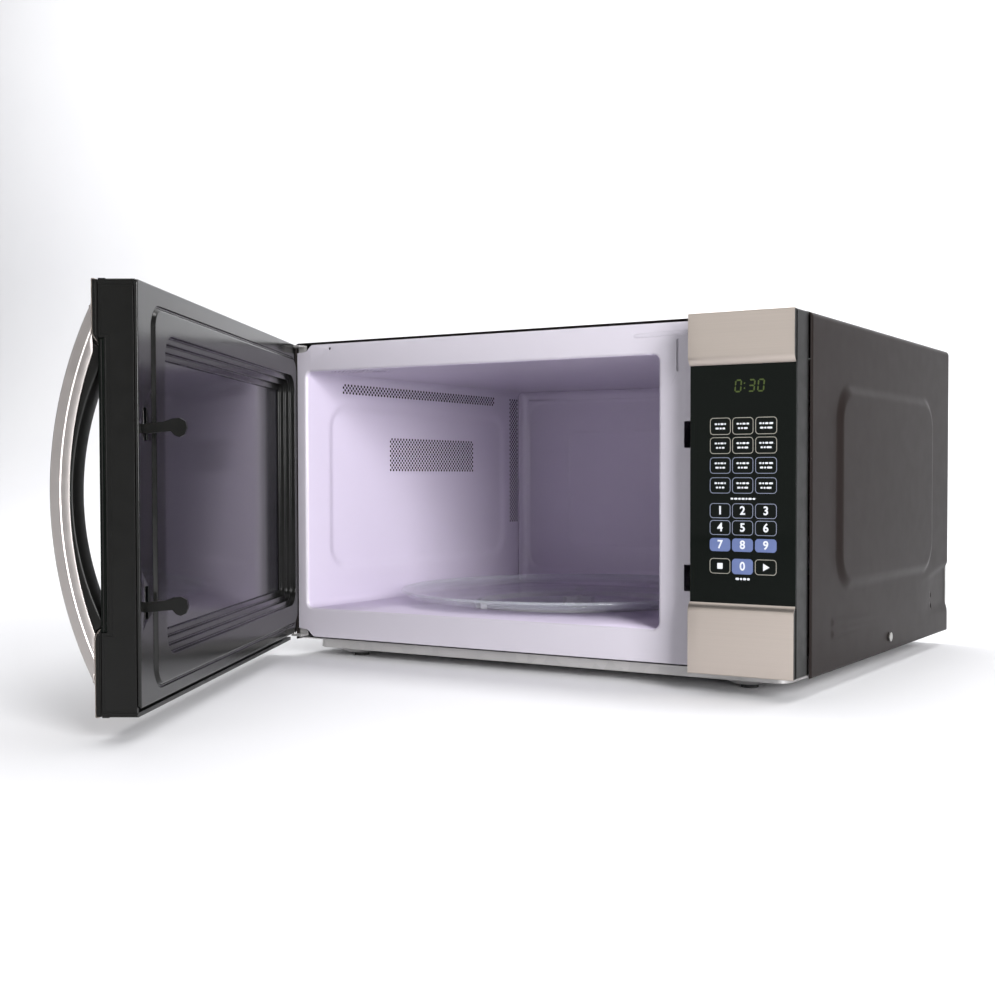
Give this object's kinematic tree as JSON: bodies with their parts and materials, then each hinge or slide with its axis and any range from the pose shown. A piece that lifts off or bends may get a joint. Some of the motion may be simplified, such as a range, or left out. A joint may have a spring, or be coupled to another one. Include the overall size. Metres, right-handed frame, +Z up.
{
  "type": "countertop microwave oven",
  "caption": "Countertop microwave oven, door open: wrapped steel cabinet, enamelled cavity with glass turntable, black glass keypad panel, framed glass door with bowed handle and hook latch.",
  "frame": {"origin": "centre of the bounding box, on the surface the feet stand on, with the door open as at rest", "axes": "+Z up, -Y towards the user in front of the door, +X to the user's right"},
  "size_m": [0.5812, 0.8444, 0.3155],
  "materials": {
    "painted_cover": "satin",
    "galvanised_steel": "satin",
    "zinc_screw": "satin",
    "rubber": "matte",
    "black_plastic": "satin",
    "enamel": "satin",
    "stainless": "satin",
    "black_glass": "polished",
    "grey_plastic": "satin",
    "display": "gloss",
    "circuit_board": "satin",
    "aluminium": "satin",
    "mica": "matte",
    "transformer_iron": "satin",
    "clear_glass": "polished",
    "inner_door_plastic": "satin",
    "tinted_film": "gloss",
    "dark_mesh": "matte",
    "silver_plating": "satin"
  },
  "bodies": {
    "cabinet": {"base_plate": "galvanised_steel", "capacitor": "aluminium", "cavity_back": "enamel", "cavity_floor": "enamel", "cavity_lamp": "clear_glass", "cavity_shell": "enamel", "control_board": "circuit_board", "cord_gland": "black_plastic", "cover_screw_left": "zinc_screw", "cover_screw_right": "zinc_screw", "display_module": "display", "fan_motor": "transformer_iron", "fan_shroud": "grey_plastic", "front_face": "enamel", "front_left_foot": "rubber", "front_right_foot": "rubber", "interlock_bracket": "grey_plastic", "keypad_membrane": "grey_plastic", "lower_hinge_bracket": "galvanised_steel", "magnetron": "aluminium", "monitor_switch": "black_plastic", "noise_filter": "circuit_board", "outer_cover": "painted_cover", "panel_glass": "black_glass", "panel_housing": "black_plastic", "panel_trim_lower": "stainless", "panel_trim_upper": "stainless", "power_transformer": "transformer_iron", "primary_switch": "black_plastic", "rear_left_foot": "rubber", "rear_panel": "galvanised_steel", "rear_right_foot": "rubber", "rectifier_diode": "grey_plastic", "secondary_switch": "black_plastic", "thermal_cutout": "aluminium", "turntable_motor": "zinc_screw", "upper_hinge_bracket": "galvanised_steel", "waveguide": "galvanised_steel", "waveguide_cover": "mica"},
    "door": {"door_frame": "black_plastic", "door_inner_cover": "inner_door_plastic", "window_film": "tinted_film", "window_mesh": "dark_mesh", "choke_frame": "galvanised_steel", "door_glass": "black_glass", "door_trim_upper": "stainless", "door_trim_lower": "stainless", "handle_shell": "silver_plating", "handle_grip": "black_plastic", "handle_screw_lower": "zinc_screw", "handle_screw_upper": "zinc_screw", "latch_spring": "zinc_screw"},
    "latch": {"latch_bar": "black_plastic"},
    "turntable_drive": {"drive_coupler": "grey_plastic"},
    "plate": {"glass_plate": "clear_glass"},
    "ring": {"roller_ring": "grey_plastic"},
    "roller_1_wheel": {"roller_1": "grey_plastic"},
    "roller_2_wheel": {"roller_2": "grey_plastic"},
    "roller_3_wheel": {"roller_3": "grey_plastic"},
    "fan": {"fan_blade": "grey_plastic"}
  },
  "joints": [
    {"name": "door_hinge", "type": "hinge", "parent": "cabinet", "child": "door", "pos_m": [-0.26365, 0.002, 0.1655], "axis": [0, 0, -1], "range_deg": [-60.75, 39.25]},
    {"name": "latch_lift", "type": "slide", "parent": "door", "child": "latch", "axis": [0, 0, 1], "range_m": [0, 0.006], "stiffness_N_per_m": 300, "springref_m": -0.004, "deforming": ["latch_spring"]},
    {"name": "turntable_spin", "type": "hinge", "parent": "cabinet", "child": "turntable_drive", "pos_m": [-0.05105, 0.21, 0.0455], "axis": [0, 0, 1], "continuous": true},
    {"name": "plate_lift", "type": "slide", "parent": "turntable_drive", "child": "plate", "axis": [0, 0, 1], "range_m": [0, 0.04]},
    {"name": "roller_ring_spin", "type": "hinge", "parent": "cabinet", "child": "ring", "pos_m": [-0.05105, 0.21, 0.0455], "axis": [0, 0, 1], "continuous": true},
    {"name": "fan_spin", "type": "hinge", "parent": "cabinet", "child": "fan", "pos_m": [0.21995, 0.392, 0.2295], "axis": [0, 1, 0], "continuous": true},
    {"name": "roller_1_spin", "type": "hinge", "parent": "ring", "child": "roller_1_wheel", "pos_m": [0.06395, 0.21, 0.0468], "axis": [1, 0, 0], "continuous": true},
    {"name": "roller_2_spin", "type": "hinge", "parent": "ring", "child": "roller_2_wheel", "pos_m": [-0.10855, 0.3096, 0.0468], "axis": [-0.5, 0.866, 0], "continuous": true},
    {"name": "roller_3_spin", "type": "hinge", "parent": "ring", "child": "roller_3_wheel", "pos_m": [-0.10855, 0.11041, 0.0468], "axis": [-0.5, -0.866, 0], "continuous": true}
  ],
  "couplings": [
    {"joint": "roller_ring_spin", "follows": "turntable_spin", "ratio": 0.5},
    {"joint": "roller_1_spin", "follows": "turntable_spin", "ratio": -8.8462},
    {"joint": "roller_2_spin", "follows": "turntable_spin", "ratio": -8.8462},
    {"joint": "roller_3_spin", "follows": "turntable_spin", "ratio": -8.8462}
  ]
}
